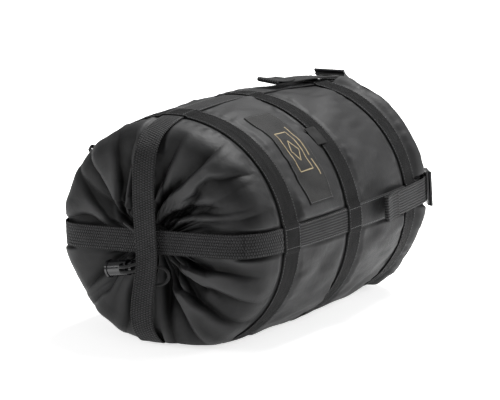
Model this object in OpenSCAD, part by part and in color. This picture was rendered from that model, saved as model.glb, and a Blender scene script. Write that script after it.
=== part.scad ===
// Compression sack, lying on its side, mouth towards -X, base towards +X.
// Millimetres. Every part is built in sack coordinates (s along the sack) and placed by sk().

/* [Sack] */
// Tilt of the sack's long axis, mouth end high, in degrees
tilt = 1.3; // [0:0.1:3]
// Height of the long axis above the ground at the mouth plane
axis_z = 107.5; // [104:0.5:118]
// Distance from the mouth plane to the row origin
mouth_back = 179.25; // [150:0.5:190]
// Turn of the straps about the long axis, in degrees
roll = -4.3; // [-8:0.1:8]
// Thickness of the body fabric stand-in
fabric_t = 1.2; // [0.8:0.1:2]

/* [Webbing] */
// Width of all webbing
web_w = 25; // [20:0.5:30]
// Thickness of all webbing
web_t = 1.3; // [1:0.1:1.6]
// Front band centre from the mouth plane
band1_s = 70; // [60:0.5:80]
// Middle band centre from the mouth plane
band2_s = 183; // [175:0.5:190]
// Rear band centre from the mouth plane
band3_s = 303.5; // [295:0.5:310]

/* [Ladder lock] */
// Overall width of a ladder lock
lock_w = 34; // [30:0.5:38]
// Radius of the round anchor bar
bar_r = 1.6; // [1.4:0.05:2]
// Tilt of the ladder locks against the long axis, in degrees
lock_tilt = 40; // [20:1:50]

/* [Cord] */
// Radius of the drawcord
cord_r = 1.6; // [1.2:0.1:2]
// Outer radius of the cord lock barrel
barrel_r = 8; // [7:0.1:9]
// Length of the cord lock barrel
barrel_l = 24; // [20:0.5:28]

/* [Hidden] */
$fn = 72;
g = 0.05;
TOP = 180; NEAR = 270; BOT = 0; FAR = 90;
end_pts = [[20.5, 16.2], [20, 26], [19.3, 46], [17, 60], [15, 74], [15, 84], [17, 94], [20.5, 102.5], [25.5, 108.2], [34, 113.4], [46.7, 117.2], [59.3, 119.2], [69.7, 120]];
front_pts = [[70.1, 120], [93, 121], [125, 121.6], [157, 121.2], [182.8, 120]];
rear_pts = [[183.2, 120], [209.3, 118.8], [235.7, 117.2], [262, 115.1], [288.5, 112.5], [316, 109.2], [326.5, 107.6], [332.5, 106.3]];
DS = 15.8;
base_pts = [for (a = [[317.3, 106.1], [322, 104.2], [326.3, 100.6], [329.3, 95.6], [331, 88], [333.5, 70], [335.5, 45], [336.5, 20], [336.8, 0]]) [a[0] + DS, a[1]]];
all_pts = concat(end_pts, front_pts, rear_pts);
function anchor(q) = q == BOT ? [359.3, 75.0] : [356.86, 98.5];
function ltilt(q) = q == BOT ? 60 : lock_tilt;

module sk() translate([-mouth_back, 0, axis_z]) rotate([0, tilt, 0]) rotate([0, 90, 0]) children();
module side(q) sk() rotate([0, 0, q + roll]) children();
module above(c) translate([-500, -500, c]) cube([1000, 1000, 1000]);

function unit(v) = v / norm(v);
function nrm(p, i) = let (a = p[max(i - 1, 0)], b = p[min(i + 1, len(p) - 1)], d = unit(b - a)) [-d[1], d[0]];
function off(p, o) = [for (i = [0:len(p) - 1]) p[i] + o * nrm(p, i)];
function rev(p) = [for (i = [len(p) - 1:-1:0]) p[i]];
function flip(p) = [for (a = p) [a[1], a[0]]];
function band_o(p, a, b) = flip(concat(off(p, a), rev(off(p, b))));

// A solid of turning under the profile, from the axis out.
module lump(p, o) sk() rotate_extrude() polygon(flip(concat([[p[0][0], 0]], off(p, o), [[p[len(p) - 1][0], 0]])));
// The same, run on past both ends, so that it leaves a tube open.
module long_lump(p, o) sk() rotate_extrude() let (e = off(p, o), m = len(p) - 1) polygon(flip(concat([[p[0][0] - 4, 0], [p[0][0] - 4, e[0][1]]], e, [[p[m][0] + 4, e[m][1]], [p[m][0] + 4, 0]])));
// A thin skin between two offsets of the profile, flattened underneath at height c.
module skin(p, a, b, c) difference() {
  intersection() { sk() rotate_extrude() polygon(band_o(p, a, b)); above(c); }
}
module flat_skin(p, a, b, c, s0, s1) difference() {
  intersection() { lump(p, b); above(c); slab(s0, s1); }
  intersection() { if (s0 > 0) long_lump(p, a); else lump(p, a); above(c + b - a); }
}
module slab(s0, s1) sk() translate([-300, -300, s0]) cube([600, 600, s1 - s0]);
// The strip of the width of a strap on one side of the sack.
module strip(q, w, s0, s1) side(q) translate([20, -w / 2, s0]) cube([300, w, s1 - s0]);
// A flat ribbon through points (s, r) on side q, w wide, from offset a to offset b.
module ribbon(p, q, w, a, b) side(q) rotate([90, 0, 0]) linear_extrude(height = w, center = true) polygon(flip(concat(off(p, a), rev(off(p, b)))));

body_pts = concat([for (i = [4:len(end_pts) - 2]) end_pts[i]], [[70, 120]], [for (i = [1:3]) front_pts[i]], [[183, 120]], [for (i = [1:len(rear_pts) - 1]) rear_pts[i]]);

module band(s0, c, cc, qs) {
  w = web_w; t = web_t;
  difference() {
    flat_skin(body_pts, g, t + g, c, s0 - w / 2, s0 + w / 2);
    for (q = qs) strip(q, w + 1.4, s0 - w, s0 + w);
  }
  for (q = qs) intersection() {
    flat_skin(body_pts, t + 0.15, 2 * t + 0.15, (q == BOT ? cc : c), s0 - w / 2, s0 + w / 2);
    strip(q, w + 1.4 + 2 * t, s0 - w, s0 + w);
  }
  for (q = qs) difference() {
    intersection() { flat_skin(body_pts, g, 2 * t + 0.15, c, s0 - w / 2, s0 + w / 2); strip(q, w + 1.4 + 2 * t, s0 - w, s0 + w); }
    strip(q, w + 1.4, s0 - w, s0 + w);
  }
}

module gathered_end() color([0.09, 0.09, 0.1]) difference() {
  flat_skin(end_pts, -fabric_t, 0, 4.65, -20, 69.7);
  sk() translate([0, 0, -30]) cylinder(r = 15.95, h = 70);
}
module mouth_hem() color([0.08, 0.08, 0.09]) sk() rotate_extrude() translate([12.6, 19.5]) circle(r = 3.1, $fn = 24);
module body_panel_front() color([0.11, 0.11, 0.12]) flat_skin(front_pts, -fabric_t, 0, 4.65, 70.1, 182.8);
module body_panel_rear() color([0.11, 0.11, 0.12]) flat_skin(rear_pts, -fabric_t, 0, 4.65, 183.2, 332.5);
module front_band() color([0.07, 0.07, 0.08]) band(band1_s, 0, 1.85, [TOP, NEAR, BOT, FAR]);
module middle_band() color([0.07, 0.07, 0.08]) band(band2_s, 0, 1.85, [TOP, NEAR, BOT, FAR]);
module rear_band() color([0.07, 0.07, 0.08]) band(band3_s, 0, 1.85, [TOP, NEAR, BOT, FAR]);

// Mouth straps: a taut ribbon over the gathered end, then the strap on the body under the front band.
hz = [[30, 112.1], [22, 107.6], [15.5, 101.5], [11.5, 94], [9, 84], [8, 70], [7.5, 50], [7.3, 25], [7.3, 0]];
vt = [[30, 112.1], [21, 107.3], [13, 100.3], [7, 91.5], [3, 80], [0.6, 66], [-1, 48], [-1.3, 25], [-1.3, 0]];
// The same on the ground side, where the sack is pressed flat.
vb = [[30, 103.3], [24, 103.5], [19, 103.3], [13.6, 98.8], [9.6, 92.5], [6.2, 85.5], [3, 77], [0.6, 64], [-1, 48], [-1.3, 25], [-1.3, 0]];
function both(p, p2) = concat(p, [for (i = [len(p2) - 2:-1:0]) [p2[i][0], -p2[i][1]]]);
module mouth_strap(p, p2, q) {
  ribbon(rev(both(p, p2)), q, web_w, 0.1, web_t + 0.1);
  for (a = [q, q + 180]) intersection() {
    flat_skin(body_pts, g, web_t + g, 3.25, 29, 69.8);
    strip(a, web_w, 29, 69.8);
  }
}
module strap_mouth_vertical() color([0.1, 0.1, 0.11]) mouth_strap(vt, vb, TOP);
module strap_mouth_horizontal() color([0.1, 0.1, 0.11]) mouth_strap(hz, hz, NEAR);
module strap_doubler() color([0.1, 0.1, 0.11]) ribbon(rev([[54, 118.6], [42, 116.6], [30, 112.1], [22, 107.6], [15.5, 101.5]]), NEAR, web_w - 1, 0.2 + web_t, 0.2 + 2 * web_t);

module sewn(q) color([0.1, 0.1, 0.11]) intersection() {
  flat_skin(body_pts, g, web_t + g, 3.25, 70, 182.8);
  strip(q, web_w, 70, 182.8);
}
module strap_sewn_top() sewn(TOP);
module strap_sewn_near() sewn(NEAR);
module strap_sewn_bottom() sewn(BOT);
module strap_sewn_far() sewn(FAR);
module lower(q) color([0.1, 0.1, 0.11]) intersection() {
  flat_skin(body_pts, g, web_t + g, 3.25, 183, 331.8);
  strip(q, web_w, 183, 331.8);
}
module strap_lower_top() lower(TOP);
module strap_lower_near() lower(NEAR);
module strap_lower_bottom() lower(BOT);
module strap_lower_far() lower(FAR);

// Sewn label, folded size tab and hang loop.
module label() color([0.14, 0.13, 0.11]) intersection() {
  flat_skin(body_pts, g, 0.75, 0, 103, 147);
  sk() rotate([0, 0, 226.5]) translate([60, -55.9, 100]) cube([100, 111.8, 50]);
}
module size_tab() color([0.04, 0.04, 0.04]) intersection() {
  flat_skin(body_pts, web_t + 0.15, web_t + 1, 0, 163, 181);
  sk() rotate([0, 0, 222]) translate([60, -10.5, 150]) cube([100, 21, 40]);
}
module hang_loop() color([0.08, 0.08, 0.09]) difference() {
  sk() rotate([0, 0, 126]) difference() {
    translate([115.5, -2.2, 44]) cube([12, 4.4, 13]);
    translate([121, -1.1, 43]) cube([5, 2.2, 15]);
  }
  lump(end_pts, 0.05);
}

// Base end.
module base_panel() color([0.11, 0.11, 0.12]) difference() {
  intersection() {
    sk() rotate_extrude() polygon(flip(concat([[317.3 + DS, 0]], base_pts)));
    above(4.65);
  }
  intersection() {
    sk() rotate_extrude() polygon(flip(concat([[317 + DS, 0]], [[317 + DS, 105]], [for (i = [1:len(base_pts) - 1]) [base_pts[i][0] - 1.3, max(base_pts[i][1] - (i < 5 ? 1.1 : 0), 0)]])));
    above(5.85);
  }
}

// Ladder lock frame: local x outward, y across, z forward from the anchor bar along the lock.
module lockframe(q) side(q) translate([anchor(q)[1], 0, anchor(q)[0]]) rotate([0, 180 - ltilt(q), 0]) mirror([1, 0, 0]) children();
module ladder_lock(q) color([0.05, 0.05, 0.055]) lockframe(q) {
  rotate([90, 0, 0]) cylinder(r = bar_r, h = web_w + 3, center = true);
  for (m = [-1, 1]) translate([-1.9, m * (lock_w / 2 - 2) - 2, -2.2]) cube([3.8, 4, 22]);
  translate([-1.1, -lock_w / 2 + 3, 8.8]) cube([2.6, lock_w - 6, 3.2]);
  rotate([90, 0, 0]) linear_extrude(height = lock_w + 1.2, center = true) polygon([[-1.7, 18.4], [1.2, 18.4], [2.8, 25.0], [1.0, 25.5], [-0.1, 21.7], [-1.7, 21.5]]);
}
module ladder_lock_top() ladder_lock(TOP);
module ladder_lock_near() ladder_lock(NEAR);
module ladder_lock_bottom() ladder_lock(BOT);
module ladder_lock_far() ladder_lock(FAR);

// Base straps: across the base, each end looped round a ladder lock's anchor bar.
function lk(e, x, q) = [anchor(q)[0] - e * cos(ltilt(q)) + x * sin(ltilt(q)), anchor(q)[1] + e * sin(ltilt(q)) + x * cos(ltilt(q))];
module base_half(q, lift) {
  p0 = lk(-2.33, 0, q);
  mid = q == BOT ? [[p0[0] - 0.6, p0[1] - 5], [357.6, 59], [355.2, 46]] : [[p0[0] - 0.4, p0[1] - 4], [p0[0] - 1.2, p0[1] - 10], [354.4 + lift, 76], [354 + lift, 60]];
  lockframe(q) difference() {
    rotate([90, 0, 0]) cylinder(r = bar_r + 0.08 + web_t, h = web_w, center = true);
    rotate([90, 0, 0]) cylinder(r = bar_r + 0.08, h = web_w + 2, center = true);
  }
  difference() {
    ribbon(concat([p0], mid, [[354 + lift, 30], [354.1 + lift, -0.4]]), q, web_w, -web_t / 2, web_t / 2);
    lockframe(q) rotate([90, 0, 0]) cylinder(r = bar_r + 0.08, h = web_w + 4, center = true);
  }
}
module base_strap_vertical() color([0.1, 0.1, 0.11]) { base_half(TOP, 0); base_half(BOT, 0); }
module base_strap_horizontal() color([0.1, 0.1, 0.11]) { base_half(NEAR, 1.5); base_half(FAR, 1.5); }

// Strap over the middle bar of a ladder lock.
module wrap(q) color([0.1, 0.1, 0.11])
  ribbon([lk(14.6, -3.4, q), lk(13.6, 0.4, q), lk(12.3, 2.0, q), lk(10.4, 2.6, q), lk(8.5, 2.0, q), lk(7.4, 0.2, q), lk(7.6, -2.6, q), lk(9, -3.6, q)], q, web_w - 0.4, -0.5, 0.5);
module strap_wrap_top() wrap(TOP);
module strap_wrap_near() wrap(NEAR);
module strap_wrap_bottom() wrap(BOT);
module strap_wrap_far() wrap(FAR);

// Free strap tails with a folded end.
tail_a = atan(0.18);
tail_l = 110;
module tail(q) color([0.1, 0.1, 0.11]) side(q) {
  translate([108.0, 0, 324 + DS]) rotate([0, -tail_a, 0]) {
    translate([0, -web_w / 2, -tail_l]) cube([web_t, web_w, tail_l]);
    translate([web_t - 0.01, -web_w / 2, -tail_l]) cube([web_t, web_w, 30]);
    translate([web_t, 0, -tail_l]) rotate([90, 0, 0]) cylinder(r = web_t, h = web_w, center = true);
  }
}
module strap_tail_top() tail(TOP);
module strap_tail_near() tail(NEAR);
module strap_tail_far() tail(FAR);
module strap_tail_bottom() color([0.1, 0.1, 0.11]) translate([-mouth_back, -roll_y, 0]) rotate([90, 0, 0])
  linear_extrude(height = web_w, center = true) polygon([[232, 0], [321, 0], [341, 3.4], [340.8, 4.7], [321, 1.3], [232, 1.3]]);
roll_y = 101.2 * tan(-roll);

// Drawcord: two leads from the hem through the cord lock, one loop and one free end.
function sv(p) = [-p[2], p[1], p[0]];
// A round cord swept through points, as one closed skin.
function ring(c, d, r, n) = let (k = abs(d[0]) < 0.8 ? [1, 0, 0] : [0, 1, 0], u = unit(cross(d, k)), v = cross(d, u)) [for (j = [0:n - 1]) c + r * (cos(360 * j / n) * u + sin(360 * j / n) * v)];
function smooth(p) = [for (i = [0:len(p) - 2], t = [0, 0.5]) let (a = p[max(i - 1, 0)], b = p[i], c = p[i + 1], d = p[min(i + 2, len(p) - 1)])
  0.5 * (2 * b + (c - a) * t + (2 * a - 5 * b + 4 * c - d) * t * t + (3 * b - a - 3 * c + d) * t * t * t), p[len(p) - 1]];
module cordline(p0, r, n = 14) {
  p = smooth([for (a = p0) sv(a)]);
  m = len(p);
  frames = [for (i = [0:m - 1]) unit(p[min(i + 1, m - 1)] - p[max(i - 1, 0)])];
  pts = [for (i = [0:m - 1]) each ring(p[i], frames[i], r, n)];
  fs = concat([[for (j = [0:n - 1]) j]], [for (i = [0:m - 2], j = [0:n - 1]) each [[i * n + j, (i + 1) * n + j, (i + 1) * n + (j + 1) % n], [i * n + j, (i + 1) * n + (j + 1) % n, i * n + (j + 1) % n]]], [[for (j = [n - 1:-1:0]) (m - 1) * n + j]]);
  polyhedron(points = pts, faces = fs, convexity = 8);
}
lead_a = [[15.1, 10.4, -10.4], [15.4, 14.5, -14.4], [16.2, 20, -19.2], [16.9, 25.4, -23.9], [16.6, 29.2, -27.2], [13.2, 30.4, -28], [9, 30.4, -28], [4, 30.4, -28], [-0.6, 30.4, -28], [-4.6, 28.9, -27.7], [-6.6, 25, -26.8], [-5.6, 20, -25.4], [-2.2, 14.6, -23.6], [1, 9.4, -21.6], [2.4, 4.6, -17.4], [2.6, 1.6, -10.4], [2.6, 3.2, -2.6], [2.6, 8.4, 3.6], [2.8, 15, 8.5], [3.4, 23, 12], [4, 30.5, 15.6]];
lead_b = [[15.1, 9.4, -11.3], [15.4, 13.4, -16.4], [16.2, 18.8, -22.6], [16.9, 24.4, -28.8], [16.6, 28.4, -32], [13.2, 29.5, -32.6], [9, 29.5, -32.6], [4, 29.5, -32.6], [-0.6, 29.5, -32.6], [-4.6, 27.9, -32.4], [-6.5, 23.8, -31.8], [-5.4, 18.8, -30.9], [-2, 13.6, -29.8], [1.2, 8, -28.4], [2.8, 1, -26.6], [4, -6, -24.6], [6.6, -13, -24.2], [9, -18.2, -28.2], [10, -19, -34.4], [9, -15.4, -39.8], [7, -9, -42.4], [5.6, -2, -42.8]];
module drawcord() color([0.06, 0.06, 0.065]) sk() { cordline(lead_a, cord_r); cordline(lead_b, cord_r); }

// Cord lock: local x along the barrel from its closed end, placed across the mouth.
lock_turn = -11;
module lockpos() sk() translate(sv([7.4, 49.5, -34])) rotate([0, 0, 0]) multmatrix([[sin(lock_turn), cos(lock_turn), 0, 0], [-cos(lock_turn), sin(lock_turn), 0, 0], [0, 0, 1, 0], [0, 0, 0, 1]]) children();
module xcyl(r, l) rotate([0, 90, 0]) cylinder(r = r, h = l);
module cord_lock_barrel() color([0.02, 0.02, 0.022]) lockpos() difference() {
  union() { xcyl(barrel_r, barrel_l); xcyl(barrel_r + 0.9, 2.2); }
  translate([2.4, 0, 0]) xcyl(6.0, 40);
  translate([20, 0, 0]) { for (m = [-1, 1]) translate([0, m * 2.5, -20]) cylinder(r = 3, h = 40); translate([-3, -2.5, -20]) cube([6, 5, 40]); }
}
module cord_lock_button() color([0.03, 0.03, 0.032]) lockpos() difference() {
  union() { translate([14.2, 0, 0]) xcyl(5.92, 15); translate([28.2, 0, 0]) xcyl(6.9, 2); }
  translate([20, 0, 0]) hullslot();
}
module hullslot() for (dx = [0, 3.4]) translate([dx, 0, 0]) { for (m = [-1, 1]) translate([0, m * 2.5, -20]) cylinder(r = 3, h = 40); translate([-3, -2.5, -20]) cube([6, 5, 40]); }
module cord_lock_spring() color([0.6, 0.6, 0.62]) lockpos() {
  for (i = [0:3]) translate([3.2 + i * 3.2, 0, 0]) rotate([0, 90, 0]) rotate_extrude() translate([4.6, 0]) circle(r = 0.7, $fn = 16);
  for (i = [0:2]) translate([3.2 + i * 3.2, 4.6, 0]) rotate([90, 0, 0]) rotate([0, 90, 0]) cylinder(r = 0.55, h = 3.2, $fn = 16);
}

gathered_end();
mouth_hem();
drawcord();
body_panel_front();
body_panel_rear();
strap_mouth_vertical();
strap_mouth_horizontal();
strap_doubler();
front_band();
middle_band();
strap_sewn_top();
strap_sewn_near();
strap_sewn_bottom();
strap_sewn_far();
strap_lower_top();
strap_lower_near();
strap_lower_bottom();
strap_lower_far();
label();
size_tab();
hang_loop();
base_panel();
rear_band();
base_strap_vertical();
base_strap_horizontal();
strap_wrap_top();
strap_wrap_near();
strap_wrap_bottom();
strap_wrap_far();
strap_tail_top();
strap_tail_near();
strap_tail_bottom();
strap_tail_far();
ladder_lock_top();
ladder_lock_near();
ladder_lock_bottom();
ladder_lock_far();
cord_lock_barrel();
cord_lock_spring();
cord_lock_button();
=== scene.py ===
import bpy, math
import numpy as np
from mathutils import Vector, Matrix

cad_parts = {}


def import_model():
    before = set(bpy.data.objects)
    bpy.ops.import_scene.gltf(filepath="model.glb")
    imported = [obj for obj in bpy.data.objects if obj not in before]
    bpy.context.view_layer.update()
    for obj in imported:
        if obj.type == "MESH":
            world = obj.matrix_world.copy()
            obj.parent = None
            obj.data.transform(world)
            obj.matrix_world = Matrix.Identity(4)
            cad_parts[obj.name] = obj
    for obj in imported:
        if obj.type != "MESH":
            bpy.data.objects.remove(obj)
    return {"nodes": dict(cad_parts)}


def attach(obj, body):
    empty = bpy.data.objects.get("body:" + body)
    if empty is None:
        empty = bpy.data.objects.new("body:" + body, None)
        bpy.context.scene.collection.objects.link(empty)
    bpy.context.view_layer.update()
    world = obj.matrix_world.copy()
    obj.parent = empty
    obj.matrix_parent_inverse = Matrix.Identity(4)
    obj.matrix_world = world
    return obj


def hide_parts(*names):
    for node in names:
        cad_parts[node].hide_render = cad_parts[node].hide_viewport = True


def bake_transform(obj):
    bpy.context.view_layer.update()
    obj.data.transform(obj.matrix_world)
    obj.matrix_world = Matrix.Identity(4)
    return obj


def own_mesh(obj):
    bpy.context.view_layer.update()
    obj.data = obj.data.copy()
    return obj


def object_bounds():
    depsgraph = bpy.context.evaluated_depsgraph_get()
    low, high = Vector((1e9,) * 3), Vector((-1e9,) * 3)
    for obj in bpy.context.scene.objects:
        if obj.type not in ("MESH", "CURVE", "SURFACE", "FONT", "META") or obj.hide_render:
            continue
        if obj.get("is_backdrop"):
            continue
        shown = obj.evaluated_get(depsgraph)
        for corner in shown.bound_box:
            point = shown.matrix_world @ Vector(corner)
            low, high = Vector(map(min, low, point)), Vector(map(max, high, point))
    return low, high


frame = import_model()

CAD_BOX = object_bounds()

# ------------------------------------------------------------------ sack coordinates (mm)
TH = math.radians(1.3)
CT, ST = math.cos(TH), math.sin(TH)
MB, AZ, ROLL = 179.25, 107.5, -4.3
TOP, NEAR, BOT, FAR = 180, 270, 0, 90
WEB_W, WEB_T, G = 25.0, 1.3, 0.05
BANDS = (70.0, 183.0, 303.5)
PI = math.pi


def world(s, y, z):
    """Sack coordinates in mm to the row frame in mm."""
    s, y, z = np.broadcast_arrays(np.asarray(s, float), np.asarray(y, float), np.asarray(z, float))
    return np.stack([-MB + s * CT + z * ST, y, AZ - s * ST + z * CT], -1)


def lain(s, y, z):
    """The same, with the filled sack a little wider than high, fading out towards the base's straps."""
    s, y, z = np.broadcast_arrays(np.asarray(s, float), np.asarray(y, float), np.asarray(z, float))
    f = 1 - np.clip((s - 285) / 55.0, 0, 1)
    f = f * f * (3 - 2 * f)
    return world(s, y * (1 + 0.025 * f), z * np.where(z > 0, 1 - 0.03 * f, 1 - 0.04 * f))


def catmull(p, per=10):
    p = np.asarray(p, float)
    out = []
    for i in range(len(p) - 1):
        a, b, c, d = p[max(i - 1, 0)], p[i], p[i + 1], p[min(i + 2, len(p) - 1)]
        if i == 0:
            a = 2 * b - c
        if i == len(p) - 2:
            d = 2 * c - b
        for t in np.linspace(0, 1, per, endpoint=False):
            out.append(0.5 * (2 * b + (c - a) * t + (2 * a - 5 * b + 4 * c - d) * t * t + (3 * b - a - 3 * c + d) * t ** 3))
    out.append(p[-1])
    return np.array(out)


def arclen(p):
    return np.concatenate([[0], np.cumsum(np.linalg.norm(np.diff(p, axis=0), axis=1))])


def resample(p, step=None, n=None):
    l = arclen(p)
    if n is None:
        n = max(2, int(round(l[-1] / step)) + 1)
    t = np.linspace(0, l[-1], n)
    return np.stack([np.interp(t, l, p[:, k]) for k in range(p.shape[1])], -1), t


PTS = [[20.5, 16.2], [20, 26], [19.3, 46], [17, 60], [15, 74], [15, 84], [17, 94], [20.5, 102.5], [25.5, 108.2], [34, 113.4],
       [46.7, 117.2], [59.3, 119.2], [70, 120], [93, 121], [125, 121.6], [157, 121.2], [183, 120], [209.3, 118.8],
       [235.7, 117.2], [262, 115.1], [288.5, 112.5], [316, 109.2], [332.5, 106.3], [337.8, 104.2], [342.1, 100.6],
       [345.1, 95.6], [346.8, 88], [349.3, 70], [351.3, 45], [352.3, 20], [352.6, 0]]
PROF = catmull(PTS, 14)
PL = arclen(PROF)
_d = np.gradient(PROF, axis=0)
_d /= np.linalg.norm(_d, axis=1)[:, None]
PN = np.stack([-_d[:, 1], _d[:, 0]], -1)
_i15 = np.argmin(PROF[:, 0])


def at(l):
    """s, r and the outward normal at length l along the profile."""
    l = np.asarray(l, float)
    f = lambda a: np.interp(l, PL, a)
    ns, nr = f(PN[:, 0]), f(PN[:, 1])
    k = np.hypot(ns, nr)
    return f(PROF[:, 0]), f(PROF[:, 1]), ns / k, nr / k


def l_of_s(s):
    return np.interp(s, PROF[_i15:, 0], PL[_i15:])


L_B1, L_B2, L_B3 = (float(l_of_s(b)) for b in BANDS)
L_SEAM = float(l_of_s(332.5))


def softmax(z, c, k=1.2):
    """Smooth floor: z, but never below c."""
    d = (z - c) / k
    return np.where(d > 12, z, c + k * np.log1p(np.exp(np.clip(d, -40, 12))) - 0.0)


def skin(l, phi, off, c):
    """A point at length l, angle phi (radians) and height off over the sack's surface, flattened on the ground at height c."""
    s, r, ns, nr = at(l)
    s, r = s + ns * off, r + nr * off
    p = lain(s, r * np.sin(phi), -r * np.cos(phi))
    p[..., 2] = np.maximum(p[..., 2], c)
    return p


def waves(phi, l, kmin, kmax, mmin, mmax, n, seed):
    """Smooth noise, periodic round the sack: whole numbers of waves round it, mmin..mmax radians per mm along it."""
    g = np.random.RandomState(seed)
    out = np.zeros(np.broadcast(phi, l).shape)
    for _ in range(n):
        k = g.randint(kmin, kmax + 1)
        m = g.uniform(mmin, mmax) * g.choice([-1, 1])
        out = out + g.uniform(0.6, 1.3) * np.cos(k * phi + m * l + g.uniform(0, 2 * PI))
    return out / math.sqrt(n)


# ------------------------------------------------------------------ mesh helpers
def new_mesh(name, verts_mm, faces, uvs=None, smooth=True):
    me = bpy.data.meshes.new(name)
    me.from_pydata((np.asarray(verts_mm) / 1000.0).tolist(), [], faces)
    if uvs is not None:
        uv = me.uv_layers.new(name="UVMap")
        idx = np.empty(len(me.loops), int)
        me.loops.foreach_get("vertex_index", idx)
        if isinstance(uvs, tuple):
            per_loop = uvs[0]
        else:
            per_loop = np.asarray(uvs)[idx]
        uv.data.foreach_set("uv", (np.asarray(per_loop, float) / 1000.0).astype(np.float32).ravel())
    me.validate()
    if smooth:
        me.polygons.foreach_set("use_smooth", [True] * len(me.polygons))
    me.update()
    o = bpy.data.objects.new(name, me)
    bpy.context.scene.collection.objects.link(o)
    return o


def quads(ni, nj, close_i, close_j, base=0, flip=False):
    i = np.arange(ni if close_i else ni - 1)
    j = np.arange(nj if close_j else nj - 1)
    I, J = np.meshgrid(i, j, indexing="ij")
    I2, J2 = (I + 1) % ni, (J + 1) % nj
    q = np.stack([I * nj + J, I2 * nj + J, I2 * nj + J2, I * nj + J2], -1).reshape(-1, 4) + base
    if flip:
        q = q[:, ::-1]
    return q


def shell(name, outer, inner, uv, painted_fold_light=None):
    """A closed skin from an outer and an inner grid [along, round], round it closed."""
    ni, nj = outer.shape[:2]
    n = ni * nj
    V = np.concatenate([outer.reshape(-1, 3), inner.reshape(-1, 3)])
    F = [quads(ni, nj, False, True, 0, True), quads(ni, nj, False, True, n, False)]
    j = np.arange(nj); j2 = (j + 1) % nj
    F.append(np.stack([j, j2, j2 + n, j + n], -1))
    k = (ni - 1) * nj
    F.append(np.stack([k + j2, k + j, k + j + n, k + j2 + n], -1))
    F = np.concatenate(F)
    # the seam of the UV map lies on the ground side, so its columns are given per corner
    U = np.concatenate([uv.reshape(-1, 2), uv.reshape(-1, 2)])
    per = U[F.reshape(-1)].reshape(-1, 4, 2)
    span = uv[..., 0].max() - uv[..., 0].min()
    w = per[:, :, 0].max(1) - per[:, :, 0].min(1) > span / 2
    per[w, :, 0] = np.where(per[w, :, 0] < span / 2, per[w, :, 0] + span * nj / (nj - 1), per[w, :, 0])
    o = new_mesh(name, V, F.tolist(), (per.reshape(-1, 2),))
    # painted fold light: per-vertex painted shade for fold valleys and band edges, painted highlight for ridges, read
    # by the fabric colour
    if painted_fold_light is not None and len(o.data.vertices) == 2 * n:
        at_ = o.data.attributes.new("painted_fold_light", "FLOAT", "POINT")
        at_.data.foreach_set("value", np.concatenate([painted_fold_light.ravel(), np.zeros(n)]).astype(np.float32))
    return o


def section(w, t, nv=13):
    """Cross-section of a strap as (v, h) round its outline, h from 0 inside to t outside, with rounded edges."""
    e = min(0.55, t * 0.45)
    v = np.linspace(-w / 2 + e, w / 2 - e, nv)
    top = [(a, t) for a in v]
    right = [(w / 2 - 0.15 * e, t * 0.86), (w / 2, t * 0.5), (w / 2 - 0.15 * e, t * 0.14)]
    bot = [(a, 0.0) for a in v[::-1]]
    left = [(-w / 2 + 0.15 * e, t * 0.14), (-w / 2, t * 0.5), (-w / 2 + 0.15 * e, t * 0.86)]
    return np.array(top + right + bot + left)


def tube(name, P, sec, u, closed=False, vflip=False):
    """A strap from its positions P[along, round the section]; u is the length along it in mm."""
    ni, nj = P.shape[:2]
    F = [quads(ni, nj, closed, True)]
    F = F[0].tolist()
    U = np.stack(np.broadcast_arrays(np.asarray(u)[:, None], sec[None, :, 0]), -1).reshape(-1, 2)
    if not closed:
        F.append(list(range(nj - 1, -1, -1)))
        F.append([(ni - 1) * nj + j for j in range(nj)])
    a = P[0].mean(0); b = P[min(3, ni - 1)].mean(0)
    out = P[0][len(sec) // 4] - a
    if closed:
        fa = np.array(F)
        per = U[fa.reshape(-1)].reshape(-1, 4, 2)
        L = float(u[-1] + (u[-1] - u[-2]))
        w = per[:, :, 0].max(1) - per[:, :, 0].min(1) > L / 2
        per[w, :, 0] = np.where(per[w, :, 0] < L / 2, per[w, :, 0] + L, per[w, :, 0])
        o = new_mesh(name, P.reshape(-1, 3), F, (per.reshape(-1, 2),))
    else:
        o = new_mesh(name, P.reshape(-1, 3), F, U)
    fix_normals(o)
    return o


def fix_normals(o):
    import bmesh
    bm = bmesh.new(); bm.from_mesh(o.data)
    bmesh.ops.recalc_face_normals(bm, faces=bm.faces)
    bm.to_mesh(o.data); bm.free()


def qvec(q):
    f = math.radians(q + ROLL)
    return np.array([math.sin(f), -math.cos(f)]), np.array([math.cos(f), math.sin(f)])   # radial, tangential in (y, z')


def ribbon(name, path, q, w, t, h0=0.0, out=1, step=1.6, zc=None, curl=None, curve_w=None, soft=False, side=None):
    """A flat strap along path (s, r) on side q. out=1 puts its height on the side (-dr, ds) of the path."""
    p, u = resample(catmull(path, 12), step=step)
    d = np.gradient(p, axis=0); d /= np.linalg.norm(d, axis=1)[:, None]
    n = np.stack([-d[:, 1], d[:, 0]], -1) * out
    sec = section(w, t)
    er, et = qvec(q)
    h = h0 + sec[None, :, 1]
    v = sec[None, :, 0] + 0 * h
    S = p[:, 0:1] + n[:, 0:1] * h
    R = p[:, 1:2] + n[:, 1:2] * h
    if curve_w is not None:
        k = curve_w(p[:, 0:1], p[:, 1:2])
        Rr = np.maximum(np.abs(p[:, 1:2]), 14)
        drop = Rr - np.sqrt(np.maximum(Rr ** 2 - v ** 2, 1))
        R = R - np.sign(p[:, 1:2]) * drop * k
    if curl is not None:
        c = curl(u[:, None], v)
        S = S + n[:, 0:1] * c
        R = R + n[:, 1:2] * c
    if side is not None:
        v = v + side(p[:, 0:1], p[:, 1:2])
    P = (lain if soft else world)(S, R * er[0] + v * et[0], R * er[1] + v * et[1])
    if zc is not None:
        P[..., 2] = np.maximum(P[..., 2], zc + h)
    return tube(name, P, sec, u), (p, n, u)


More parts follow.
